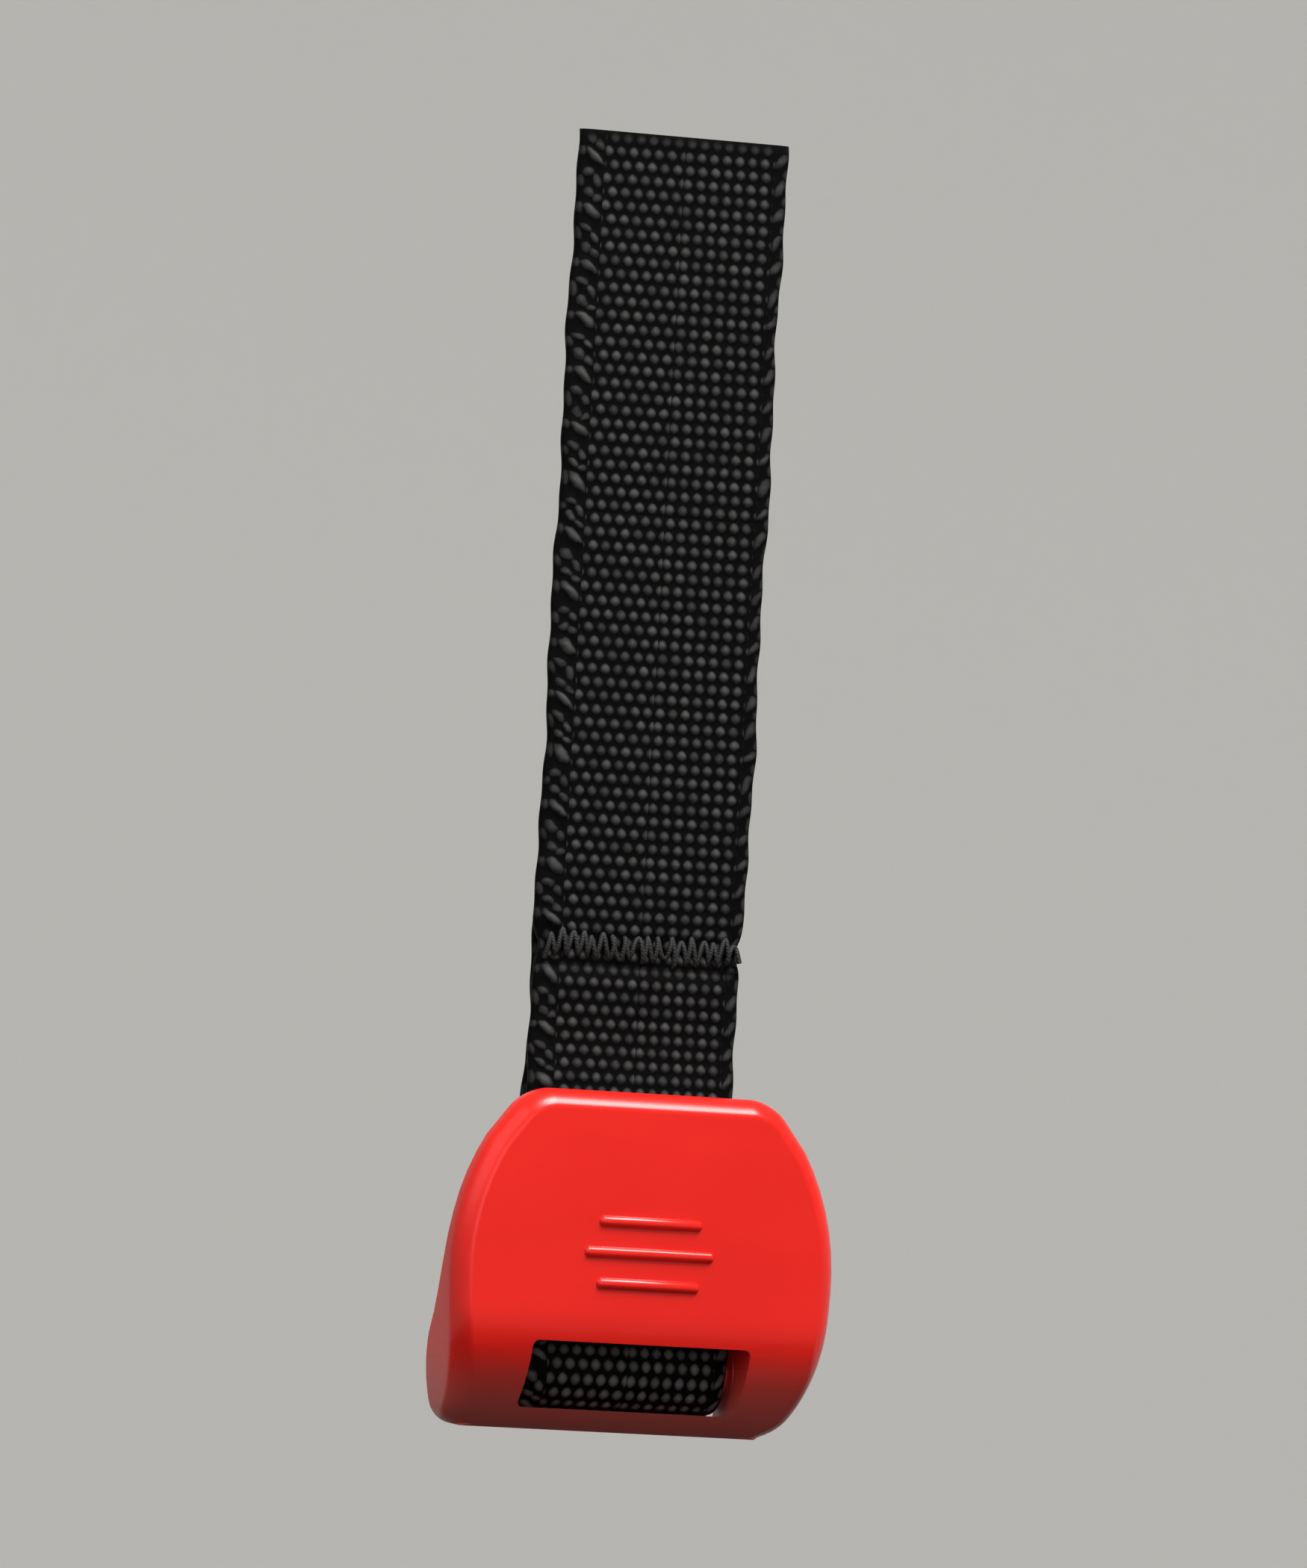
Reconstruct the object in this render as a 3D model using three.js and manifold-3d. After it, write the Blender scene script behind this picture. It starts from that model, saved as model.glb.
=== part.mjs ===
// Hang clip on a webbing strap. Millimetres, +Z up, the face of the clip looks along -Y.
// The origin is on the back of the strap, at the middle of the end that is sewn down.
import * as THREE from "three";
import { mergeVertices } from "three/addons/utils/BufferGeometryUtils.js";
import Module from "manifold-3d";

const wasm = await Module();
wasm.setup();
const rad = THREE.MathUtils.degToRad;

// Webbing
const STRAP_W = 16;        // width of the webbing
const STRAP_T = 1.2;       // thickness of one layer
const SKIN = 0.05;         // air between two layers, and between a layer and what it lies on
const END_HALF = 5;        // half the height of the end that is sewn down
const BEND_Z = -40;        // where the single layer bends
const TAIL_Z = -50.5;      // top of the cut tail, behind the strap
const TACK_Z = -53;        // middle of the bar tack
const SPLIT_Z = -55;       // where the two layers part below the tack
const THREAD = 0.36;       // thickness of the tack's thread

// Clip, h counts up from its lowest edge
const CLIP_H = 24.2;       // height
const CLIP_W = 29;         // greatest width, at MID_H
const MID_H = 11.5;
const CLIP_BOTTOM_Z = -87.5;
const FACE_Y = -6.2;       // front plane
const PLATE_T = 1.8;       // thickness of the face
const WALL_T = 1.6;        // thickness of the skirt
const SKIRT_D = 2.2;       // depth of the skirt at the top
const FLANK_D = 7.8;       // depth of the flanks beside the bar
const EDGE = 1.4;          // rounding of the face's edge
const CURL_R = 9;          // outside radius of the curl
const CURL_H = 8.51;       // height of the curl's centre
const CURL_Y = FACE_Y + CURL_R;
const WINDOW_W = 16.5;
const WINDOW_LOW = 1.4;
const WINDOW_HIGH = 6.4;
const BAR_R = 1.6;         // bar that the webbing goes round
const BAR_H = 4.6;
const CHEEK_IN = 8.25;     // inside face of the cheeks that carry the bar
const CHEEK_T = 1.8;

const BAR_Z = CLIP_BOTTOM_Z + BAR_H;
const MID_Y = -STRAP_T / 2;                    // middle of the strap's thickness
const WRAP_R = BAR_R + SKIN + STRAP_T / 2;     // middle of the webbing round the bar
const TAIL_Y = SKIN + STRAP_T / 2;             // middle of the tail's thickness

const red = new THREE.MeshStandardMaterial({ color: 0xd8241b, roughness: 0.24, metalness: 0 });
const black = new THREE.MeshStandardMaterial({ color: 0x17171a, roughness: 0.86, metalness: 0 });
const thread = new THREE.MeshStandardMaterial({ color: 0x101012, roughness: 0.7, metalness: 0 });

function solidOf(geometry) {
  const g = geometry.index ? geometry.toNonIndexed() : geometry.clone();
  const bare = new THREE.BufferGeometry().setAttribute("position", g.getAttribute("position"));
  const merged = mergeVertices(bare, 1e-4);
  return new wasm.Manifold(new wasm.Mesh({
    numProp: 3,
    vertProperties: merged.attributes.position.array,
    triVerts: new Uint32Array(merged.index.array),
  }));
}

function geometryOf(solid) {
  const m = solid.getMesh();
  const at = new Float32Array(m.numVert * 3);
  for (let i = 0; i < m.numVert; i++) {
    for (let k = 0; k < 3; k++) at[3 * i + k] = m.vertProperties[i * m.numProp + k];
  }
  const g = new THREE.BufferGeometry();
  g.setAttribute("position", new THREE.BufferAttribute(at, 3));
  g.setIndex([...m.triVerts]);
  g.computeVertexNormals();
  return g;
}

function node(name, geometry, material) {
  const mesh = new THREE.Mesh(geometry, material);
  mesh.name = name;
  return mesh;
}

// A shape drawn in (y, z) and pushed out along X, from x = -width / 2 to width / 2.
function across(shape, width, segments = 24) {
  const g = new THREE.ExtrudeGeometry(shape, { depth: width, bevelEnabled: false, curveSegments: segments });
  g.translate(0, 0, -width / 2);
  return g.applyMatrix4(new THREE.Matrix4().set(0, 0, 1, 0, 1, 0, 0, 0, 0, 1, 0, 0, 0, 0, 0, 1));
}

// A shape drawn in (x, z) and pushed out along Y, from y = from to y = to.
function through(shape, from, to, extra = {}) {
  const g = new THREE.ExtrudeGeometry(shape, { depth: to - from, bevelEnabled: false, curveSegments: 14, ...extra });
  return g.applyMatrix4(new THREE.Matrix4().set(1, 0, 0, 0, 0, 0, -1, to, 0, 1, 0, 0, 0, 0, 0, 1));
}

// A band of webbing whose middle follows points in (y, z).
function band(points) {
  const left = [], right = [];
  points.forEach((p, i) => {
    const before = points[Math.max(i - 1, 0)], after = points[Math.min(i + 1, points.length - 1)];
    const a = p.clone().sub(before).normalize(), b = after.clone().sub(p).normalize();
    const along = a.lengthSq() === 0 ? b : b.lengthSq() === 0 ? a : a.add(b).normalize();
    const side = new THREE.Vector2(-along.y, along.x).multiplyScalar(STRAP_T / 2);
    left.push(p.clone().add(side));
    right.push(p.clone().sub(side));
  });
  return across(new THREE.Shape([...left, ...right.reverse()]), STRAP_W);
}

// Where a leg that starts at (y, SPLIT_Z) touches the circle it wraps, as an angle from +Y.
function touchAngle(y) {
  const to = new THREE.Vector2(Math.abs(y), SPLIT_Z - BAR_Z);
  return Math.atan2(to.y, to.x) - Math.acos(WRAP_R / to.length());
}
const touch = touchAngle(MID_Y);
const tailTouch = touchAngle(TAIL_Y);
const round = (angle) => new THREE.Vector2(WRAP_R * Math.cos(angle), BAR_Z + WRAP_R * Math.sin(angle));
const along = (a, b, share) => a.clone().lerp(b, share);

// The end that is sewn down, and the single layer that hangs from it
const sewnEnd = across(new THREE.Shape([
  new THREE.Vector2(-STRAP_T, -END_HALF + SKIN), new THREE.Vector2(0, -END_HALF + SKIN),
  new THREE.Vector2(0, END_HALF), new THREE.Vector2(-STRAP_T, END_HALF),
]), STRAP_W);
const strapUpper = across(new THREE.Shape([
  new THREE.Vector2(-STRAP_T, BEND_Z + 0.75), new THREE.Vector2(0, BEND_Z + 0.75),
  new THREE.Vector2(0, -END_HALF - SKIN), new THREE.Vector2(-STRAP_T, -END_HALF - SKIN),
]), STRAP_W);

// Below the bend: a rounded end on the bend's axis, then the layer down to where the tail leaves it
const lower = new THREE.Shape();
lower.moveTo(0, BEND_Z);
lower.absarc(MID_Y, BEND_Z, STRAP_T / 2, 0, Math.PI, false);
lower.lineTo(-STRAP_T, SPLIT_Z + SKIN);
lower.lineTo(0, SPLIT_Z + SKIN);
const strapLower = across(lower, STRAP_W, 10);

// The loop: down in front, round the bar and up behind
const frontTop = new THREE.Vector2(MID_Y, SPLIT_Z);
const backTop = new THREE.Vector2(TAIL_Y, SPLIT_Z);
const loopPoints = [frontTop, along(frontTop, round(Math.PI - touch), 0.5)];
for (let i = 0; i <= 18; i++) {
  loopPoints.push(round(Math.PI - touch + (i / 18) * (Math.PI + touch + tailTouch)));
}
loopPoints.push(along(round(2 * Math.PI + tailTouch), backTop, 0.5), backTop);
const webbingLoop = band(loopPoints);
const webbingTail = band([
  new THREE.Vector2(TAIL_Y, SPLIT_Z + SKIN), new THREE.Vector2(TAIL_Y, TACK_Z), new THREE.Vector2(TAIL_Y, TAIL_Z),
]);

// Bar tack: one thread runs to and fro across the front, the other across the back
const TACK_TURNS = 19;
function tackRun(tall, thick) {
  const up = [], down = [], wide = STRAP_W - 1.4;
  for (let i = 0; i <= TACK_TURNS; i++) {
    const x = -wide / 2 + (wide * i) / TACK_TURNS, z = ((i % 2 ? 1 : -1) * tall) / 2;
    up.push(new THREE.Vector2(x, z + thick * 0.8));
    down.push(new THREE.Vector2(x, z - thick * 0.8));
  }
  return new THREE.Shape([...down, ...up.reverse()]);
}

// Clip
function clipOutline(inset) {
  const half = CLIP_W / 2;
  const s = new THREE.Shape();
  // Each arc: centre, radius and end angles on the right-hand side; the left is its mirror image
  const arcs = [
    [half - 3.466, 2.2, 2.2, -90, -15.5],
    [half - 37, MID_H, 37, -15.5, 0],
    [half - 18, MID_H, 18, 0, 40.64],
    [half - 6.466, CLIP_H - 2.8, 2.8, 40.64, 90],
  ];
  arcs.forEach(([x, h, r, from, to]) => s.absarc(x, h, r - inset, rad(from), rad(to), false));
  [...arcs].reverse().forEach(([x, h, r, from, to]) => s.absarc(-x, h, r - inset, rad(180 - to), rad(180 - from), false));
  return s;
}

// Side view of the whole clip, filled in: the face, the curl and the back edge of skirt and flanks
function sideView() {
  const s = new THREE.Shape();
  const back = FACE_Y + SKIRT_D, deep = FACE_Y + FLANK_D;
  s.moveTo(FACE_Y, CLIP_H + 1);
  s.lineTo(FACE_Y, CURL_H);
  s.absarc(CURL_Y, CURL_H, CURL_R, Math.PI, rad(180 + 71), false);
  s.lineTo(1.0, 0.05);
  s.quadraticCurveTo(deep, 0.05, deep, 0.7);
  s.quadraticCurveTo(deep, 3.4, -0.3, 6.3);
  s.quadraticCurveTo(-3.6, 9.5, back, 14.5);
  s.lineTo(back, CLIP_H + 1);
  return s;
}

// The hollow behind the face
function hollowView() {
  const s = new THREE.Shape();
  s.moveTo(FACE_Y + PLATE_T, CLIP_H);
  s.lineTo(FACE_Y + PLATE_T, CURL_H);
  s.absarc(CURL_Y, CURL_H, CURL_R - PLATE_T, Math.PI, rad(180 + 50), false);
  s.lineTo(-1, WINDOW_LOW);
  s.lineTo(5, WINDOW_LOW);
  s.lineTo(5, CLIP_H);
  return s;
}

// A cheek that carries one end of the bar
function cheekView() {
  const s = new THREE.Shape();
  s.moveTo(FACE_Y + 1, 11.5);
  s.lineTo(FACE_Y + 1, 6);
  s.lineTo(-3.2, 1.9);
  s.lineTo(-0.6, 0.5);
  s.lineTo(0.5, 0.9);
  s.lineTo(1.5, 2.4);
  s.absarc(0, BAR_H, 2.6, rad(-50), rad(110), false);
  s.lineTo(FACE_Y + PLATE_T, 11.5);
  return s;
}

function clipBody() {
  const front = through(clipOutline(EDGE), FACE_Y + EDGE, 5, {
    bevelEnabled: true, bevelThickness: EDGE, bevelSize: EDGE, bevelSegments: 4,
  });
  let body = solidOf(front).intersect(solidOf(across(sideView(), CLIP_W + 4, 28)));
  body = body.subtract(
    solidOf(through(clipOutline(WALL_T), FACE_Y - 1, 6.5)).intersect(solidOf(across(hollowView(), CLIP_W, 28))));
  const opening = new THREE.BoxGeometry(WINDOW_W, 16, WINDOW_HIGH - WINDOW_LOW);
  opening.translate(0, FACE_Y + 4, (WINDOW_HIGH + WINDOW_LOW) / 2);
  // The floor of the curl ends in a lip under the bar, and the flanks stand free behind it
  const behindLip = new THREE.BoxGeometry(20.6, 6, 4);
  behindLip.translate(0, 3.6, 1);
  body = body.subtract(solidOf(opening)).subtract(solidOf(behindLip));
  for (const hand of [-1, 1]) {
    const cheek = across(cheekView(), CHEEK_T, 16);
    cheek.translate(hand * (CHEEK_IN + CHEEK_T / 2), 0, 0);
    body = body.add(solidOf(cheek));
  }
  const bar = new THREE.CylinderGeometry(BAR_R, BAR_R, 2 * CHEEK_IN + 1, 32);
  bar.rotateZ(Math.PI / 2);
  bar.translate(0, 0, BAR_H);
  body = body.add(solidOf(bar));
  // Three grip ribs across the face, the middle one longest
  [[10.6, 7], [12.8, 9], [15, 7]].forEach(([h, wide]) => {
    const rib = new THREE.CapsuleGeometry(0.45, wide, 4, 10);
    rib.rotateZ(Math.PI / 2);
    rib.translate(0, FACE_Y + 0.15, h);
    body = body.add(solidOf(rib));
  });
  return geometryOf(body);
}

const clip = new THREE.Group();
clip.name = "clip";
clip.position.set(0, 0, CLIP_BOTTOM_Z);
clip.add(node("clip_body", clipBody(), red));

const part = new THREE.Group();
part.name = "hang_clip_on_strap";
part.add(
  node("sewn_end", sewnEnd, black),
  node("strap_upper", strapUpper, black),
  node("strap_lower", strapLower, black),
  node("webbing_loop", webbingLoop, black),
  node("webbing_tail", webbingTail, black),
);
const tack = new THREE.Group();
tack.name = "bar_tack";
tack.position.set(0, 0, TACK_Z);
tack.add(
  node("tack_needle_thread", through(tackRun(1.5, THREAD), -STRAP_T - SKIN - THREAD, -STRAP_T - SKIN), thread),
  node("tack_bobbin_thread", through(tackRun(1.3, THREAD), 2 * SKIN + STRAP_T, 2 * SKIN + STRAP_T + THREAD), thread),
);
part.add(tack, clip);

export default part;
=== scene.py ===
# Hang clip on a webbing strap: a red moulded clip on a bar-tacked loop of black webbing.
import math

import bmesh
import bpy
import numpy as np
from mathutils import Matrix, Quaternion, Vector


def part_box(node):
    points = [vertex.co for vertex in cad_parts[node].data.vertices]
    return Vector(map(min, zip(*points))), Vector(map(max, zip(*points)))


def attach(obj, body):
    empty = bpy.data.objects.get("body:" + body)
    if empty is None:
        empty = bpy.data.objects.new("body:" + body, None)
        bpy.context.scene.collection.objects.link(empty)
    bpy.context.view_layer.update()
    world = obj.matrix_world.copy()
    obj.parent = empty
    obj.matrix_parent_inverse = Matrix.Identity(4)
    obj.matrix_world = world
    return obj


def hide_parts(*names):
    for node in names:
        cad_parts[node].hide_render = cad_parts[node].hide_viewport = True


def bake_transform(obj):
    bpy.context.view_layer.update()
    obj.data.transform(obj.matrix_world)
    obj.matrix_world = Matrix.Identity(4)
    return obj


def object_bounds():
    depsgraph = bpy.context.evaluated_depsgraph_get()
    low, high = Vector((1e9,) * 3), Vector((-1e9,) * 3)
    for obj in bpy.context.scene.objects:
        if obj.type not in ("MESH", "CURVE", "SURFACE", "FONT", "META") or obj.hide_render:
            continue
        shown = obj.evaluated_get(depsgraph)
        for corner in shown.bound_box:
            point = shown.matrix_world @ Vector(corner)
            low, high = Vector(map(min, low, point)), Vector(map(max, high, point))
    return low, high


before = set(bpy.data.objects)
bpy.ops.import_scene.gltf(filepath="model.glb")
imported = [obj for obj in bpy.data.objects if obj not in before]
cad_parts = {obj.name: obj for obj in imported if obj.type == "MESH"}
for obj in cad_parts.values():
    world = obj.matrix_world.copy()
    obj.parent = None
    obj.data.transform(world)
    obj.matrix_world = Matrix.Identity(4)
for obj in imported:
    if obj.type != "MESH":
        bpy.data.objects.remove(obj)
cad_low, cad_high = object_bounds()
MM = 0.001

# ---------------------------------------------------------------- camera

AZIMUTH, ELEVATION, ROLL = math.radians(-21), math.radians(-2), math.radians(3.2)
LENS, CAMERA_AWAY = 300.0, 0.93
middle = (cad_low + cad_high) / 2
towards = Vector((math.sin(AZIMUTH) * math.cos(ELEVATION), -math.cos(AZIMUTH) * math.cos(ELEVATION),
                  math.sin(ELEVATION)))
bpy.ops.object.camera_add(location=middle + towards * CAMERA_AWAY)
camera = bpy.context.object
camera.rotation_mode = "QUATERNION"
camera.rotation_quaternion = towards.to_track_quat("Z", "Y") @ Quaternion((0, 0, 1), ROLL)
camera.data.lens = LENS
camera.data.clip_end = 20
bpy.context.scene.camera = camera


# ---------------------------------------------------------------- workbench

def clear_hands():
    if bpy.context.mode != "OBJECT":
        bpy.ops.object.mode_set(mode="OBJECT")
    bpy.ops.object.select_all(action="DESELECT")


def take(piece):
    clear_hands()
    piece.select_set(True)
    bpy.context.view_layer.objects.active = piece


def edit(piece):
    take(piece)
    bpy.ops.object.mode_set(mode="EDIT")


def pick(piece, test, kind="VERT"):
    """In edit mode, selects the vertices, edges or faces that pass the test."""
    bpy.ops.mesh.select_mode(type=kind)
    bpy.ops.mesh.select_all(action="DESELECT")
    mesh = bmesh.from_edit_mesh(piece.data)
    for element in {"VERT": mesh.verts, "EDGE": mesh.edges, "FACE": mesh.faces}[kind]:
        if test(element):
            element.select_set(True)
    mesh.select_flush_mode()
    bmesh.update_edit_mesh(piece.data)


def done(piece, name=None):
    """Back to object mode, with the piece's place in its mesh."""
    take(piece)
    bpy.ops.object.transform_apply(location=True, rotation=True, scale=True)
    if name:
        piece.name = name
        piece.data.name = name
    return piece


def finish_with(piece, kind, **settings):
    """Adds one modifier and applies it."""
    take(piece)
    modifier = piece.modifiers.new(kind.lower(), kind)
    for key, value in settings.items():
        setattr(modifier, key, value)
    bpy.ops.object.modifier_apply(modifier=modifier.name)


def cut(piece, tool, how):
    finish_with(piece, "BOOLEAN", object=tool, operation=how, solver="EXACT")
    take(tool)
    bpy.ops.object.delete()


# ---------------------------------------------------------------- clip

clip_low, clip_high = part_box("clip_body")
FOOT_Z = clip_low.z                     # lowest edge of the clip, and heights h count up from it
FACE_Y = -6.2 * MM                      # front plane
TOP_H = clip_high.z - clip_low.z
HALF_W = clip_high.x
MID_H = 11.5 * MM                       # where the outline is widest
SIDE_R, LOWER_R, FOOT_R = 18 * MM, 37 * MM, 2.2 * MM
TOP_R, TOP_TURN = 3.6 * MM, math.radians(52.2)
RIM = 1.4 * MM                          # rounding between the face and the walls
CURL_R, CURL_H = 9.0 * MM, 8.51 * MM    # the foot curls back round this centre
CURL_ANGLE = math.radians(71)
WALL, PLATE = 1.6 * MM, 1.8 * MM
WINDOW_W, WINDOW_LOW, WINDOW_HIGH = 16.5 * MM, 1.4 * MM, 6.4 * MM
BAR_R, BAR_H = 1.6 * MM, 4.6 * MM
CHEEK_X, CHEEK_R, CHEEK_T = 9.15 * MM, 2.6 * MM, 1.8 * MM
FACE_ROWS = (9.6, 10.8, 12.2, 13.6, 15.1, 16.6, 18, 19.4, 20.7)
GRIP_RIBS = ((10.6, 7), (12.8, 9), (15.0, 7))    # height and length in millimetres
RIB_R = 0.45 * MM


def half_width(h):
    """Half the clip's width at height h: a side arc, a flatter arc below it and a small one at the foot."""
    if h >= MID_H:
        return HALF_W - SIDE_R + math.sqrt(SIDE_R ** 2 - (h - MID_H) ** 2)
    meet = math.asin((MID_H - FOOT_R) / (LOWER_R - FOOT_R))
    if h >= FOOT_R * (1 - math.sin(meet)):
        return HALF_W - LOWER_R + math.sqrt(LOWER_R ** 2 - (MID_H - h) ** 2)
    corner = HALF_W - LOWER_R + (LOWER_R - FOOT_R) * math.cos(meet)
    return corner + math.sqrt(max(FOOT_R ** 2 - (FOOT_R - h) ** 2, 0))


# back edge of the skirt and flanks from the foot up, as curves of three (y, h) points in millimetres
BACK_CURVES = [((1.0, 0.05), (1.6, 0.05), (1.6, 0.7)),
               ((1.6, 0.7), (1.6, 3.4), (-0.3, 6.3)),
               ((-0.3, 6.3), (-3.6, 9.5), (-4.0, 14.5))]


def back_edge(h):
    """How far back the edge of the skirt and flanks lies at height h."""
    line = []
    for curve in BACK_CURVES:
        a, b, c = (np.array(point) for point in curve)
        for t in (0, 0.25, 0.5, 0.75, 1):
            line.append((1 - t) ** 2 * a + 2 * t * (1 - t) * b + t * t * c)
    y, height = np.array(line).T
    return float(np.interp(h / MM, height, y)) * MM


def tray(name, inset, thick, back):
    """A block with the clip's outline and its curled foot, closed at the back where back(h) says."""
    top = TOP_H - inset
    radius = CURL_R - thick
    clear_hands()
    bpy.ops.mesh.primitive_plane_add(size=1, rotation=(math.pi / 2, 0, 0),
                                     location=(0, FACE_Y + thick, FOOT_Z + (top + CURL_H) / 2))
    block = bpy.context.object
    block.scale = (2, top - CURL_H, 1)
    done(block, name)
    edit(block)
    # rows across the face
    for h in FACE_ROWS:
        bpy.ops.mesh.select_all(action="SELECT")
        bpy.ops.mesh.bisect(plane_co=(0, 0, FOOT_Z + h * MM), plane_no=(0, 0, 1))
    # the foot curls back round its centre
    pick(block, lambda e: all(abs(v.co.z - FOOT_Z - CURL_H) < 1e-6 for v in e.verts), "EDGE")
    curl_centre = (0, FACE_Y + CURL_R, FOOT_Z + CURL_H)
    bpy.ops.mesh.spin(steps=22, angle=-CURL_ANGLE, center=curl_centre, axis=(1, 0, 0))
    mesh = bmesh.from_edit_mesh(block.data)
    lowest = min(v.co.z for v in mesh.verts)
    if lowest > FOOT_Z + CURL_H - radius * 0.5:
        raise RuntimeError("the foot curled the wrong way")
    # each row takes the outline's width
    rows = sorted({round(v.co.z, 7) for v in mesh.verts})
    for z in rows:
        pick(block, lambda v: abs(v.co.z - z) < 2e-7)
        wide = half_width(max(z - FOOT_Z, 0)) - inset
        bpy.ops.transform.resize(value=(wide, 1, 1), center_override=(0, 0, z))
    # out to the back
    pick(block, lambda f: True, "FACE")
    bpy.ops.mesh.extrude_region_move(TRANSFORM_OT_translate={"value": (0, 0.03, 0)})
    for z in rows:
        pick(block, lambda v: abs(v.co.z - z) < 2e-7 and v.co.y > 0.015)
        mesh = bmesh.from_edit_mesh(block.data)
        now = next(v.co.y for v in mesh.verts if v.select)
        bpy.ops.transform.translate(value=(0, back(z - FOOT_Z) - now, 0))
    bpy.ops.mesh.select_all(action="SELECT")
    bpy.ops.mesh.normals_make_consistent(inside=False)
    # round corners at the top
    top_z = FOOT_Z + top
    pick(block, lambda e: all(abs(v.co.z - top_z) < 1e-6 and abs(v.co.x) > 4 * MM for v in e.verts)
         and abs(e.verts[0].co.x - e.verts[1].co.x) < 1e-6, "EDGE")
    reach = (TOP_R - inset) * math.tan(TOP_TURN / 2)
    bpy.ops.mesh.bevel(offset=reach, segments=10, affect="EDGES", clamp_overlap=False)
    # the rows of the flat face have done their work
    pick(block, lambda f: f.normal.y < -0.9999
         and abs(f.calc_center_median().y - FACE_Y - thick) < 1e-6, "FACE")
    bpy.ops.mesh.dissolve_faces()
    return block


def front_rim(block):
    """Selects the edge between the face and the walls, from foot to foot over the top."""
    def on_rim(e):
        if not e.is_manifold:
            return False
        a, b = (f.normal for f in e.link_faces)
        face, wall = (a, b) if abs(a.x) + max(a.z, 0) < abs(b.x) + max(b.z, 0) else (b, a)
        in_front = face.y < -0.2 and abs(face.x) < 0.05
        return in_front and abs(wall.y) < 0.3 and (abs(wall.x) > 0.3 or wall.z > 0.5)
    pick(block, on_rim, "EDGE")


def cut_window(body):
    """The window that shows the webbing on its bar. Its sill falls away to the back."""
    clear_hands()
    middle_h = (WINDOW_LOW + WINDOW_HIGH) / 2
    bpy.ops.mesh.primitive_cube_add(size=1, location=(0, FACE_Y + 4 * MM, FOOT_Z + middle_h))
    window = bpy.context.object
    window.scale = (WINDOW_W, 16 * MM, WINDOW_HIGH - WINDOW_LOW)
    done(window)
    edit(window)
    pick(window, lambda v: v.co.z < FOOT_Z + 2 * MM and v.co.y < 0)
    bpy.ops.transform.translate(value=(0, 0, 1.1 * MM))
    pick(window, lambda v: v.co.z < FOOT_Z + 2 * MM and v.co.y > 0)
    bpy.ops.transform.translate(value=(0, 0, -0.95 * MM))
    pick(window, lambda e: abs(e.verts[0].co.y - e.verts[1].co.y) > 0.01, "EDGE")
    bpy.ops.mesh.bevel(offset=0.45 * MM, segments=4, affect="EDGES")
    clear_hands()
    cut(body, window, "DIFFERENCE")


def open_behind_lip(body):
    """Behind its lip the foot is open, and the flanks stand free."""
    clear_hands()
    bpy.ops.mesh.primitive_cube_add(size=1, location=(0, 3.6 * MM, FOOT_Z + MM))
    rear = bpy.context.object
    rear.scale = (20.6 * MM, 6 * MM, 4 * MM)
    cut(body, done(rear), "DIFFERENCE")


def add_cheek(body, hand):
    """A round boss at one end of the bar, and the web that ties it to the face."""
    clear_hands()
    bpy.ops.mesh.primitive_cylinder_add(vertices=40, radius=CHEEK_R, depth=CHEEK_T,
                                        rotation=(0, math.pi / 2, 0),
                                        location=(hand * CHEEK_X, 0, FOOT_Z + BAR_H))
    cut(body, done(bpy.context.object), "UNION")
    clear_hands()
    bpy.ops.mesh.primitive_cube_add(size=1, location=(hand * CHEEK_X, -2.2 * MM, FOOT_Z + 5.2 * MM))
    web = bpy.context.object
    web.scale = (CHEEK_T - 0.1 * MM, 5.4 * MM, 8.6 * MM)
    done(web)
    edit(web)
    pick(web, lambda v: v.co.y > -2 * MM and v.co.z > FOOT_Z + 5 * MM)
    bpy.ops.transform.translate(value=(0, -3.2 * MM, 0))
    pick(web, lambda v: v.co.y > -2 * MM and v.co.z < FOOT_Z + 5 * MM)
    bpy.ops.transform.translate(value=(0, 0.6 * MM, 0.6 * MM))
    pick(web, lambda v: v.co.y < -4 * MM and v.co.z < FOOT_Z + 5 * MM)
    bpy.ops.transform.translate(value=(0, 1.9 * MM, 0.9 * MM))
    clear_hands()
    cut(body, web, "UNION")


def add_bar(body):
    clear_hands()
    bpy.ops.mesh.primitive_cylinder_add(vertices=40, radius=BAR_R, depth=2 * CHEEK_X - 0.8 * MM,
                                        rotation=(0, math.pi / 2, 0), location=(0, 0, FOOT_Z + BAR_H))
    cut(body, done(bpy.context.object), "UNION")


def add_grip_rib(body, h, wide):
    """A ball, pulled out to a round-ended rib that stands a little out of the face."""
    clear_hands()
    bpy.ops.mesh.primitive_uv_sphere_add(segments=24, ring_count=12, radius=RIB_R,
                                         rotation=(0, math.pi / 2, 0),
                                         location=(0, FACE_Y + RIB_R / 3, FOOT_Z + h * MM))
    rib = done(bpy.context.object)
    edit(rib)
    for hand in (-1, 1):
        pick(rib, lambda v: v.co.x * hand > 1e-5)
        bpy.ops.transform.translate(value=(hand * wide / 2 * MM, 0, 0))
    clear_hands()
    cut(body, rib, "UNION")


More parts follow.
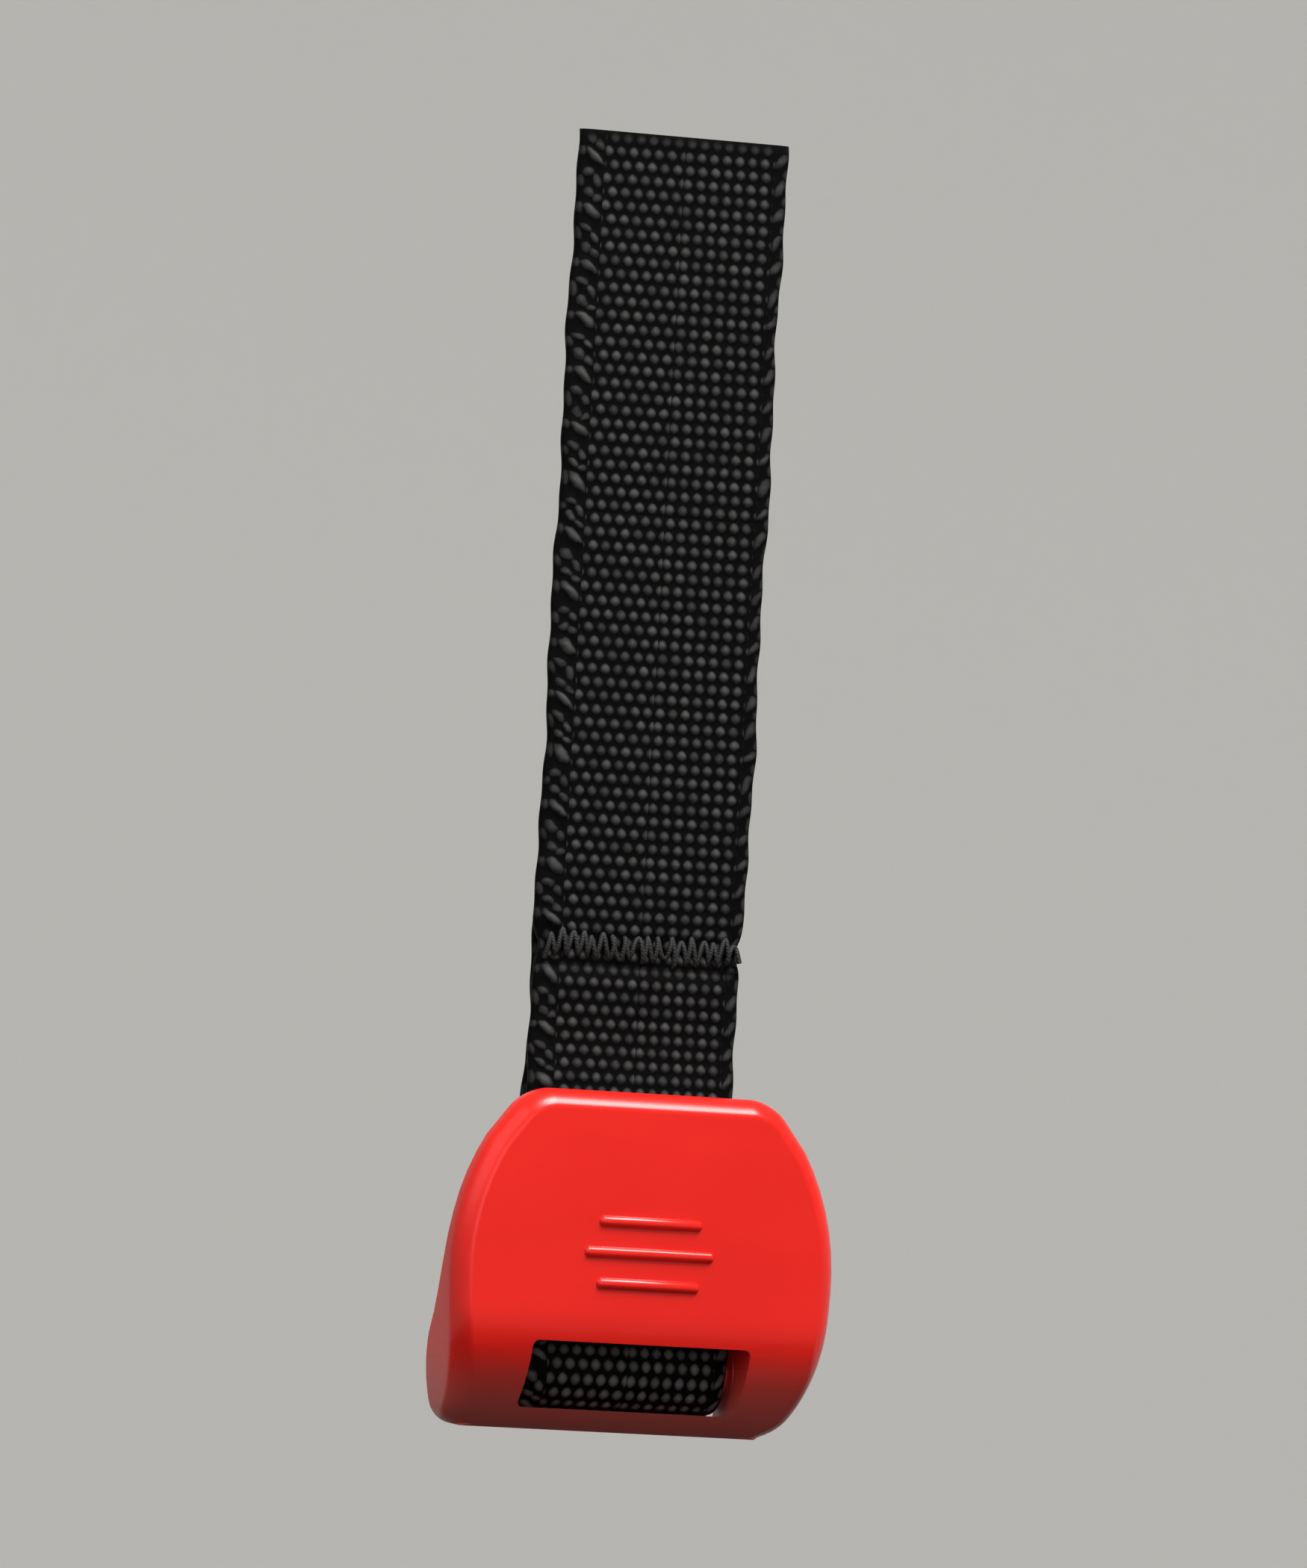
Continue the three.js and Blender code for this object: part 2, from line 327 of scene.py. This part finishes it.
def make_clip():
    body = tray("clip_moulding", 0, 0, back_edge)
    front_rim(body)
    bpy.ops.mesh.bevel(offset=RIM, segments=6, profile=0.4, affect="EDGES", clamp_overlap=False)
    clear_hands()
    hollow = tray("hollow", WALL, PLATE, lambda h: 7 * MM)
    front_rim(hollow)
    bpy.ops.mesh.bevel(offset=0.5 * MM, segments=3, affect="EDGES", clamp_overlap=False)
    clear_hands()
    cut(body, hollow, "DIFFERENCE")
    cut_window(body)
    open_behind_lip(body)
    for hand in (-1, 1):
        add_cheek(body, hand)
    add_bar(body)
    for h, wide in GRIP_RIBS:
        add_grip_rib(body, h, wide)
    finish_with(body, "BEVEL", width=0.2 * MM, segments=2, limit_method="ANGLE",
                angle_limit=math.radians(38), use_clamp_overlap=True, harden_normals=False)
    take(body)
    bpy.ops.object.shade_smooth_by_angle(angle=math.radians(32))
    finish_with(body, "WEIGHTED_NORMAL", keep_sharp=True)
    return body


# ---------------------------------------------------------------- webbing

STRAP_W, STRAP_T = 16 * MM, 1.2 * MM
PITCH = 0.97 * MM                       # from one raised float to the next, across and along
STEP = PITCH / 4
RELIEF = 0.15 * MM
TOP_Z = cad_high.z
BEND_Z, TACK_Z, SPLIT_Z, TAIL_Z = -40 * MM, -53 * MM, -60 * MM, -50.5 * MM
WRAP_R = BAR_R + 1.1 * MM
BACK_SHIFT = 0.4 * MM                   # the back leg of the loop lies a little to the right
BAR_Z = FOOT_Z + BAR_H


def rounded(points, reach, turns=3):
    """A line through (y, z) points with each corner cut back by reach and rounded."""
    line = [points[0]]
    for before, corner, after in zip(points, points[1:], points[2:]):
        a, b, c = (np.array(p, float) for p in (before, corner, after))
        near = min(reach, np.linalg.norm(b - a) / 2.2, np.linalg.norm(c - b) / 2.2)
        p, q = b + (a - b) / np.linalg.norm(a - b) * near, b + (c - b) / np.linalg.norm(c - b) * near
        for k in range(turns + 1):
            t = k / turns
            line.append(tuple((1 - t) ** 2 * p + 2 * t * (1 - t) * b + t * t * q))
    line.append(points[-1])
    return line


def strap_line():
    """The middle of the webbing's thickness: down from the sewn end, round the bar, up to the tail."""
    front, back = -STRAP_T / 2, STRAP_T / 2 + 0.05 * MM
    lean = math.asin((WRAP_R - 0.62 * MM) / (SPLIT_Z - BAR_Z))
    turn = [(-WRAP_R * math.cos(a), BAR_Z - WRAP_R * math.sin(a))
            for a in np.linspace(-lean, math.pi + lean, 40)]
    return rounded([(front, TOP_Z), (front, SPLIT_Z), *turn[:1]], 1.6 * MM) + turn[1:-1] + rounded(
        [turn[-1], (back, SPLIT_Z), (back, TAIL_Z)], 1.6 * MM)


class Lay:
    """Places on the strap by the length along it."""

    def __init__(self, line):
        self.line = np.array(line, float)
        gaps = np.linalg.norm(np.diff(self.line, axis=0), axis=1)
        self.at = np.concatenate([[0], np.cumsum(gaps)])
        self.length = float(self.at[-1])

    def point(self, s):
        return np.stack([np.interp(s, self.at, self.line[:, k]) for k in (0, 1)], -1)

    def outward(self, s):
        ahead = self.point(np.clip(s + 0.25 * MM, 0, self.length))
        ahead = ahead - self.point(np.clip(s - 0.25 * MM, 0, self.length))
        ahead /= np.linalg.norm(ahead, axis=-1, keepdims=True)
        return np.stack([ahead[..., 1], -ahead[..., 0]], -1)


lay = Lay(strap_line())
TACK_S, TACK_W = TOP_Z - TACK_Z, 14.4 * MM
TACK_STROKES = 35
TURN_S = TOP_Z - BAR_Z                  # where the strap starts round the bar


# slanted stitches of the two edges, in pitches and degrees:
# centre, repeat, start, half length, half width, tilt, weight
EDGE_STITCHES = [(-7.05, 4, 0.0, 0.95, 0.40, 38, 1.0), (-7.45, 4, 1.25, 0.55, 0.34, 20, 0.6),
                 (-6.75, 4, 1.9, 0.5, 0.34, 58, 0.7), (-7.4, 4, 2.6, 0.55, 0.36, 34, 0.65),
                 (-6.7, 4, 3.05, 0.45, 0.33, 8, 0.6), (-8.05, 2, 0.7, 0.5, 0.3, 75, 0.45),
                 (7.65, 2, 0.3, 0.75, 0.34, -52, 0.6), (8.1, 2, 1.2, 0.5, 0.3, -75, 0.4)]
BODY_FROM, BODY_TO = -6.25, 7.15


def float_height(x, s):
    """0 in the gaps and 1 on each raised float, with a knitted edge on the left and a cord on the right."""
    u, v = x / PITCH, s / PITCH
    slip = np.floor(v) % 2 * np.where(u < 0, 0.5, 0.14)
    du, dv = (u + slip) % 1 - 0.5, v % 1 - 0.5
    height = np.cos(np.pi * du) ** 2 * np.cos(np.pi * dv) ** 2 * (u > BODY_FROM) * (u < BODY_TO)
    for middle_u, repeat, start, long, wide, tilt, weight in EDGE_STITCHES:
        c, t = math.cos(math.radians(tilt)), math.sin(math.radians(tilt))
        du, dv = u - middle_u, (((v - start) / repeat) % 1 - 0.5) * repeat
        far = ((du * c + dv * t) / long) ** 2 + ((dv * c - du * t) / wide) ** 2
        height = np.maximum(height, weight * np.clip(1 - far, 0, 1))
    return height


def webbing(name, s_from, s_to):
    """One run of the strap, closed at both ends, with the weave in its surface."""
    columns = 32
    xs = np.arange(-columns, columns + 1) * STEP
    edge_x = np.array([7.93, 8.0, 7.93]) * MM
    edge_n = np.array([0.26, 0.0, -0.26]) * MM
    ring_x = np.concatenate([xs, edge_x, xs[::-1], -edge_x])
    ring_side = np.concatenate([np.ones(len(xs)), np.zeros(3), -np.ones(len(xs)), np.zeros(3)])
    ring_n = np.concatenate([np.zeros(len(xs)), edge_n, np.zeros(len(xs)), -edge_n])
    rows = int(round((s_to - s_from) / STEP))
    s = s_from + np.arange(rows + 1) * (s_to - s_from) / rows
    clear_hands()
    bpy.ops.mesh.primitive_grid_add(x_subdivisions=len(ring_x), y_subdivisions=rows, size=1)
    piece = bpy.context.object
    piece.name = piece.data.name = name
    count_v = rows + 1
    order = np.arange(len(ring_x) + 1) % len(ring_x)
    x, side, n = ring_x[order], ring_side[order], ring_n[order]
    X, S = np.meshgrid(x, s)
    thin = np.clip((np.abs(X) - 7.0 * MM) / (0.85 * MM), 0, 1)
    half = STRAP_T / 2 - 0.2 * MM * thin ** 2
    woven = float_height(X, S)
    melt = np.clip(1 - np.minimum(np.abs(S), np.abs(S - lay.length)) / (0.8 * MM), 0, 1)
    tack = np.exp(-((S - TACK_S) / (0.9 * MM)) ** 2)
    N = side[None, :] * (half - RELIEF * (1 - woven) * (1 - melt)) + n[None, :]
    # the front is drawn in at the stitches, with a low fold under them
    fold = np.exp(-((S - TACK_S - 1.5 * MM) / (0.45 * MM)) ** 2)
    N = N - (0.2 * MM * tack + 0.16 * MM * fold) * (side[None, :] > 0)
    wave = (0.09 * np.sin(S / (3.1 * MM)) + 0.06 * np.sin(S / (1.37 * MM) + 1.3)
            + 0.05 * np.sin(S / (0.62 * MM) + 0.4)) * MM
    below = 1 / (1 + np.exp(-(S - TACK_S) / (0.6 * MM)))
    X = X * (1 - 0.055 * tack) + wave * np.clip((np.abs(X) - 6.6 * MM) / (1.2 * MM), 0, 1)
    X = X - 0.35 * MM * below * np.clip(X / (8 * MM), 0, 1)
    turned = np.clip((S - TURN_S) / (12 * MM), 0, 1)
    X = X + BACK_SHIFT * turned * turned * (3 - 2 * turned)
    place, out = lay.point(S), lay.outward(S)
    co = np.stack([X, place[..., 0] + out[..., 0] * N, place[..., 1] + out[..., 1] * N], -1)
    piece.data.vertices.foreach_set("co", co.reshape(-1, 3).astype(np.float32).ravel())
    # the pattern's own coordinates: floats across, rows along
    uv = piece.data.uv_layers.active or piece.data.uv_layers.new(name="weave")
    uv.name = "weave"
    U = np.tile(np.concatenate([ring_x, ring_x[:1]]) / PITCH, (count_v, 1))
    loops = np.zeros(len(piece.data.loops), int)
    piece.data.loops.foreach_get("vertex_index", loops)
    weave = np.stack([U.ravel()[loops], (S / PITCH).ravel()[loops]], -1)
    uv.data.foreach_set("uv", weave.astype(np.float32).ravel())
    mark = piece.data.attributes.new("melt", "FLOAT", "POINT")
    mark.data.foreach_set("value", melt.ravel().astype(np.float32))
    # painted shade: a mark along the fold under the stitches, which darkens the webbing's colour there
    fold_painted_shade = np.exp(-((S - TACK_S - 1.3 * MM - 0.12 * wave) / (0.28 * MM)) ** 2) * (side[None, :] > 0)
    mark = piece.data.attributes.new("fold_painted_shade", "FLOAT", "POINT")
    mark.data.foreach_set("value", fold_painted_shade.ravel().astype(np.float32))
    # painted light: the webbing's colour is made paler where it turns round the bar, in the clip's window
    bar_painted_light = np.exp(-((S - TURN_S - 1.0 * MM) / (4.0 * MM)) ** 4) * (side[None, :] > 0)
    mark = piece.data.attributes.new("bar_painted_light", "FLOAT", "POINT")
    mark.data.foreach_set("value", bar_painted_light.ravel().astype(np.float32))
    piece.data.update()
    edit(piece)
    bpy.ops.mesh.select_all(action="SELECT")
    bpy.ops.mesh.remove_doubles(threshold=1e-6)
    pick(piece, lambda e: e.is_boundary, "EDGE")
    bpy.ops.mesh.fill_holes(sides=0)
    bpy.ops.mesh.select_all(action="SELECT")
    bpy.ops.mesh.normals_make_consistent(inside=False)
    clear_hands()
    take(piece)
    bpy.ops.object.shade_smooth_by_angle(angle=math.radians(75))
    return piece


def tack_thread(name, s_mid, tall, strokes, side, thick):
    """A thread that runs to and fro over the strap and dips into it at each turn."""
    clear_hands()
    data = bpy.data.curves.new(name, "CURVE")
    data.dimensions = "3D"
    data.bevel_depth = thick / 2
    data.bevel_resolution = 2
    data.use_fill_caps = True
    points = []
    rng = np.random.default_rng(7)
    stroke = TACK_W / strokes
    for i in range(strokes + 1):
        x = -TACK_W / 2 + stroke * (i + 0.34 * rng.standard_normal())
        reach = tall / 2 * (1 + 0.22 * rng.standard_normal())
        up = 1 if i % 2 else -1
        for share, lift in ((0.0, -0.1), (0.25, 0.13), (0.75, 0.15)):
            following = -up
            z = up * reach * (1 - share) + following * tall / 2 * share
            points.append((x + stroke * share, z, lift * MM))
    spline = data.splines.new("NURBS")
    spline.points.add(len(points) - 1)
    for spot, (x, z, lift) in zip(spline.points, points):
        spot.co = (x, side[0] + side[1] * lift, s_mid + z, 1)
    spline.order_u = 3
    spline.use_endpoint_u = True
    spline.resolution_u = 2
    thread = bpy.data.objects.new(name, data)
    bpy.context.scene.collection.objects.link(thread)
    take(thread)
    bpy.ops.object.convert(target="MESH")
    bpy.ops.object.shade_smooth()
    return done(bpy.context.object, name)


# ---------------------------------------------------------------- materials

def plain(name):
    made = bpy.data.materials.new(name)
    made.use_nodes = True
    nodes, links = made.node_tree.nodes, made.node_tree.links
    return made, nodes, links, nodes["Principled BSDF"]


class Sum:
    """Small arithmetic on shader sockets."""

    def __init__(self, nodes, links):
        self.nodes, self.links = nodes, links

    def __call__(self, operation, *values):
        node = self.nodes.new("ShaderNodeMath")
        node.operation = operation
        for socket, value in zip(node.inputs, values):
            if isinstance(value, (int, float)):
                socket.default_value = value
            else:
                self.links.new(value, socket)
        return node.outputs[0]


def red_plastic():
    made, nodes, links, shader = plain("red_moulding")
    m = Sum(nodes, links)
    where = nodes.new("ShaderNodeTexCoord").outputs["Object"]
    def noise(scale, detail, squash=(1, 1, 1), rough=0.5):
        shrink = nodes.new("ShaderNodeMapping")
        shrink.inputs["Scale"].default_value = squash
        links.new(where, shrink.inputs[0])
        made_noise = nodes.new("ShaderNodeTexNoise")
        made_noise.inputs["Scale"].default_value = scale
        made_noise.inputs["Detail"].default_value = detail
        made_noise.inputs["Roughness"].default_value = rough
        links.new(shrink.outputs[0], made_noise.inputs["Vector"])
        return made_noise.outputs[0]
    flow = noise(60, 2.0, (1, 1, 2.2))
    scuffs = noise(300, 5.0, (1, 1, 1), 0.7)
    grain = noise(5200, 2.0)
    # the red drifts a little, with small paler scuffs
    ramp = nodes.new("ShaderNodeValToRGB")
    dark, light = ramp.color_ramp.elements
    dark.position, dark.color = 0.3, (0.80, 0.0125, 0.0075, 1)
    light.position, light.color = 0.7, (0.87, 0.0155, 0.0095, 1)
    links.new(flow, ramp.inputs[0])
    worn = nodes.new("ShaderNodeMapRange")
    worn.inputs["From Min"].default_value, worn.inputs["From Max"].default_value = 0.64, 0.78
    worn.inputs["To Max"].default_value = 0.07
    links.new(scuffs, worn.inputs["Value"])
    pale = nodes.new("ShaderNodeMix")
    pale.data_type = "RGBA"
    links.new(worn.outputs[0], pale.inputs[0])
    links.new(ramp.outputs[0], pale.inputs[6])
    pale.inputs[7].default_value = (0.85, 0.09, 0.07, 1)
    # painted reflection: towards the foot the base colour turns paler and greyer, standing in for the grey
    # surroundings the curled foot reflects; the foot is also rougher and duller than the face
    split = nodes.new("ShaderNodeSeparateXYZ")
    links.new(where, split.inputs[0])
    foot = nodes.new("ShaderNodeMapRange")
    foot.interpolation_type = "SMOOTHSTEP"
    foot.inputs["From Min"].default_value = FOOT_Z + 6.5 * MM
    foot.inputs["From Max"].default_value = FOOT_Z + MM
    foot.inputs["To Max"].default_value = 0.9
    ragged = m("MULTIPLY", m("SUBTRACT", flow, 0.5), 4 * MM)
    links.new(m("ADD", split.outputs[2], ragged), foot.inputs["Value"])
    # painted reflection: the red is mixed towards a paler, greyer red at the foot
    foot_painted_reflection = nodes.new("ShaderNodeMix")
    foot_painted_reflection.data_type = "RGBA"
    links.new(foot.outputs[0], foot_painted_reflection.inputs[0])
    links.new(pale.outputs[2], foot_painted_reflection.inputs[6])
    foot_painted_reflection.inputs[7].default_value = (0.62, 0.105, 0.085, 1)
    links.new(foot_painted_reflection.outputs[2], shader.inputs["Base Color"])
    dull = m("ADD", m("MULTIPLY", foot.outputs[0], 0.16), worn.outputs[0])
    links.new(m("ADD", m("ADD", 0.2, m("MULTIPLY", flow, 0.08)), dull), shader.inputs["Roughness"])
    bump = nodes.new("ShaderNodeBump")
    bump.inputs["Strength"].default_value = 0.25
    bump.inputs["Distance"].default_value = 0.02 * MM
    height = m("ADD", m("MULTIPLY", grain, 0.6), m("SUBTRACT", flow, worn.outputs[0]))
    links.new(height, bump.inputs["Height"])
    links.new(bump.outputs[0], shader.inputs["Normal"])
    shader.inputs["IOR"].default_value = 1.46
    return made


def black_webbing():
    made, nodes, links, shader = plain("black_webbing")
    m = Sum(nodes, links)
    uv = nodes.new("ShaderNodeUVMap")
    uv.uv_map = "weave"
    drift = nodes.new("ShaderNodeTexNoise")
    drift.inputs["Scale"].default_value = 0.45
    drift.inputs["Detail"].default_value = 2.0
    links.new(uv.outputs[0], drift.inputs["Vector"])
    split = nodes.new("ShaderNodeSeparateXYZ")
    links.new(uv.outputs[0], split.inputs[0])
    u, v = split.outputs[0], split.outputs[1]
    u = m("ADD", u, m("MULTIPLY", m("SUBTRACT", drift.outputs[0], 0.5), 0.22))
    # rows of floats, staggered by half on the left and nearly in line on the right
    half = m("ADD", m("MULTIPLY", m("LESS_THAN", u, 0.0), 0.36), 0.14)
    slip = m("MULTIPLY", m("MODULO", m("FLOOR", v), 2.0), half)
    du = m("SUBTRACT", m("FRACT", m("ADD", m("ADD", u, slip), 64.0)), 0.5)
    dv = m("SUBTRACT", m("FRACT", v), 0.5)
    far = m("ADD", m("POWER", m("ABSOLUTE", m("MULTIPLY", du, 2.3)), 1.7),
            m("POWER", m("ABSOLUTE", m("MULTIPLY", dv, 2.25)), 1.7))
    dot = m("MAXIMUM", m("SUBTRACT", 1.0, far), 0.0)
    # no two floats are quite as bright
    cell = nodes.new("ShaderNodeCombineXYZ")
    links.new(m("FLOOR", m("ADD", u, slip)), cell.inputs[0])
    links.new(m("FLOOR", v), cell.inputs[1])
    chance = nodes.new("ShaderNodeTexWhiteNoise")
    chance.noise_dimensions = "2D"
    links.new(cell.outputs[0], chance.inputs["Vector"])
    dot = m("MULTIPLY", dot, m("ADD", 0.62, m("MULTIPLY", chance.outputs["Value"], 0.5)))
    inside = m("MULTIPLY", m("GREATER_THAN", u, BODY_FROM), m("LESS_THAN", u, BODY_TO))
    relief = m("MULTIPLY", dot, inside)
    # the slanted stitches of both edges
    wander = m("MULTIPLY", m("SUBTRACT", drift.outputs[0], 0.5), 1.6)
    for middle_u, repeat, start, long, wide, tilt, weight in EDGE_STITCHES:
        c, t = math.cos(math.radians(tilt)), math.sin(math.radians(tilt))
        du = m("SUBTRACT", u, middle_u)
        dv = m("MULTIPLY", m("SUBTRACT", m("FRACT", m("MULTIPLY", m("ADD", m("SUBTRACT", v, start), wander),
                                                    1 / repeat)), 0.5), repeat)
        along = m("ADD", m("MULTIPLY", du, c / long), m("MULTIPLY", dv, t / long))
        across = m("SUBTRACT", m("MULTIPLY", dv, c / wide), m("MULTIPLY", du, t / wide))
        far = m("ADD", m("MULTIPLY", along, along), m("MULTIPLY", across, across))
        relief = m("MAXIMUM", relief, m("MULTIPLY", m("MAXIMUM", m("SUBTRACT", 1.0, far), 0.0), weight))
    # filaments run along each float
    stretch = nodes.new("ShaderNodeMapping")
    stretch.inputs["Scale"].default_value = (9.0, 1.1, 1.0)
    links.new(uv.outputs[0], stretch.inputs[0])
    hairs = nodes.new("ShaderNodeTexNoise")
    hairs.inputs["Scale"].default_value = 2.2
    hairs.inputs["Detail"].default_value = 3.0
    links.new(stretch.outputs[0], hairs.inputs["Vector"])
    uneven = nodes.new("ShaderNodeTexNoise")
    uneven.inputs["Scale"].default_value = 0.8
    uneven.inputs["Detail"].default_value = 2.5
    links.new(uv.outputs[0], uneven.inputs["Vector"])
    # painted highlight and painted shade: the base colour follows the floats, pale on their crowns and near
    # black in the gaps between them
    weave_painted_light = m("MULTIPLY", relief, m("ADD", 0.25, m("MULTIPLY", uneven.outputs[0], 1.5)))
    weave_painted_light = m("MULTIPLY", weave_painted_light, m("ADD", 0.35, m("MULTIPLY", hairs.outputs[0], 1.1)))
    # painted shade: the colour is darkened along the fold under the stitches
    fold_painted_shade = nodes.new("ShaderNodeAttribute")
    fold_painted_shade.attribute_name = "fold_painted_shade"
    weave_painted_light = m("MULTIPLY", weave_painted_light, m("SUBTRACT", 1.0, m("MULTIPLY", fold_painted_shade.outputs["Fac"], 0.9)))
    bar_painted_light = nodes.new("ShaderNodeAttribute")
    bar_painted_light.attribute_name = "bar_painted_light"
    # from near black in the gaps (painted shade) up to grey on the floats (painted highlight)
    ramp = nodes.new("ShaderNodeValToRGB")
    dark, light = ramp.color_ramp.elements
    dark.position, dark.color = 0.03, (0.0011, 0.0011, 0.0012, 1)
    light.position, light.color = 0.85, (0.064, 0.063, 0.062, 1)
    links.new(weave_painted_light, ramp.inputs[0])
    melt = nodes.new("ShaderNodeAttribute")
    melt.attribute_name = "melt"
    sealed = nodes.new("ShaderNodeMix")
    sealed.data_type = "RGBA"
    links.new(m("POWER", melt.outputs["Fac"], 0.6), sealed.inputs[0])
    # painted light: the floats are mixed towards pale grey where the webbing turns round the bar
    bar_light_mix = nodes.new("ShaderNodeMix")
    bar_light_mix.data_type = "RGBA"
    links.new(m("MULTIPLY", m("MULTIPLY", bar_painted_light.outputs["Fac"], relief), 0.75), bar_light_mix.inputs[0])
    links.new(ramp.outputs[0], bar_light_mix.inputs[6])
    bar_light_mix.inputs[7].default_value = (0.19, 0.185, 0.18, 1)
    links.new(bar_light_mix.outputs[2], sealed.inputs[6])
    sealed.inputs[7].default_value = (0.006, 0.006, 0.006, 1)
    links.new(sealed.outputs[2], shader.inputs["Base Color"])
    rough = m("ADD", m("MULTIPLY", hairs.outputs[0], 0.2), 0.5)
    links.new(m("SUBTRACT", rough, m("MULTIPLY", melt.outputs["Fac"], 0.25)), shader.inputs["Roughness"])
    bump = nodes.new("ShaderNodeBump")
    bump.inputs["Strength"].default_value = 0.7
    bump.inputs["Distance"].default_value = 0.18 * MM
    links.new(m("ADD", m("MULTIPLY", relief, m("SUBTRACT", 1.0, melt.outputs["Fac"])),
                m("MULTIPLY", hairs.outputs[0], 0.3)), bump.inputs["Height"])
    links.new(bump.outputs[0], shader.inputs["Normal"])
    shader.inputs["Specular IOR Level"].default_value = 0.06
    shader.inputs["Sheen Weight"].default_value = 0.006
    shader.inputs["Sheen Roughness"].default_value = 0.4
    return made


def black_thread():
    made, nodes, links, shader = plain("black_thread")
    shader.inputs["Base Color"].default_value = (0.024, 0.024, 0.024, 1)
    shader.inputs["Roughness"].default_value = 0.55
    shader.inputs["Specular IOR Level"].default_value = 0.25
    where = nodes.new("ShaderNodeTexCoord")
    twist = nodes.new("ShaderNodeTexWave")
    twist.inputs["Scale"].default_value = 2600
    twist.inputs["Distortion"].default_value = 1.2
    twist.bands_direction = "DIAGONAL"
    links.new(where.outputs["Object"], twist.inputs["Vector"])
    bump = nodes.new("ShaderNodeBump")
    bump.inputs["Strength"].default_value = 0.5
    bump.inputs["Distance"].default_value = 0.05 * MM
    links.new(twist.outputs["Fac"], bump.inputs["Height"])
    links.new(bump.outputs[0], shader.inputs["Normal"])
    return made


clip = make_clip()
clip.data.materials.append(red_plastic())
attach(clip, "clip")
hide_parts("clip_body")

strap_cloth = black_webbing()
JOIN_S = STEP * 112                     # the two runs meet above the bend
upper = webbing("webbing_upper", 0.0, JOIN_S)
lower = webbing("webbing_looped", JOIN_S, lay.length)
for run in (upper, lower):
    run.data.materials.append(strap_cloth)
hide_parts("sewn_end", "strap_upper")
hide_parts("strap_lower", "webbing_loop", "webbing_tail")
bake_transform(upper)
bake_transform(lower)

thread_finish = black_thread()
needle = tack_thread("tack_needle", TACK_Z, 2.0 * MM, TACK_STROKES, (-STRAP_T + 0.24 * MM, -1), 0.36 * MM)
bobbin = tack_thread("tack_bobbin", TACK_Z, 1.8 * MM, TACK_STROKES, (STRAP_T + 0.02 * MM, 1), 0.32 * MM)
for run, node in ((needle, "tack_needle_thread"), (bobbin, "tack_bobbin_thread")):
    run.data.materials.append(thread_finish)
    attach(run, "strap_lower")
    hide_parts(node)

# ---------------------------------------------------------------- stage

clear_hands()
bpy.ops.mesh.primitive_circle_add(vertices=96, radius=1.5, fill_type="NGON",
                                  location=(0, 0, middle.z - 0.35))
floor = bpy.context.object
floor.name = "floor"
edit(floor)
pick(floor, lambda f: True, "FACE")
bpy.ops.mesh.inset(thickness=0.02)
for rise, grow in ((0.03, 1.12), (0.09, 1.09), (0.16, 1.055), (0.22, 1.03), (0.5, 1.02), (0.7, 1.0)):
    pick(floor, lambda e: e.is_boundary, "EDGE")
    bpy.ops.mesh.extrude_region_move(TRANSFORM_OT_translate={"value": (0, 0, rise)})
    bpy.ops.transform.resize(value=(grow, grow, 1), center_override=(0, 0, 0))
done(floor)
bpy.ops.object.shade_smooth()
paper, nodes, links, shader = plain("paper")
shader.inputs["Base Color"].default_value = (0.86, 0.85, 0.83, 1)
shader.inputs["Roughness"].default_value = 0.9
floor.data.materials.append(paper)

# a dark card under the clip keeps the floor's light off its foot
clear_hands()
bpy.ops.mesh.primitive_plane_add(size=0.5, location=(0, -0.06, cad_low.z - 0.09))
card = bpy.context.object
card.name = "card"
felt, nodes, links, shader = plain("felt")
shader.inputs["Base Color"].default_value = (0.02, 0.02, 0.02, 1)
shader.inputs["Roughness"].default_value = 1.0
card.data.materials.append(felt)
card.visible_camera = False

world = bpy.data.worlds.new("studio")
bpy.context.scene.world = world
world.use_nodes = True
world.node_tree.nodes["Background"].inputs["Color"].default_value = (1.0, 0.99, 0.97, 1)
world.node_tree.nodes["Background"].inputs["Strength"].default_value = 0.3
bpy.context.scene.view_settings.view_transform = "Standard"


def softbox(name, azimuth, elevation, distance, size, power):
    a, e = math.radians(azimuth), math.radians(elevation)
    away = Vector((math.sin(a) * math.cos(e), -math.cos(a) * math.cos(e), math.sin(e)))
    clear_hands()
    bpy.ops.object.light_add(type="AREA", location=middle + away * distance)
    light = bpy.context.object
    light.name = name
    light.rotation_mode = "QUATERNION"
    light.rotation_quaternion = away.to_track_quat("Z", "Y")
    light.data.size = size
    light.data.energy = power


softbox("key", 25, 60, 0.9, 0.4, 12.5)
softbox("fill", -60, 35, 1.1, 0.8, 2)
softbox("front", -15, 12, 1.0, 0.5, 0.9)
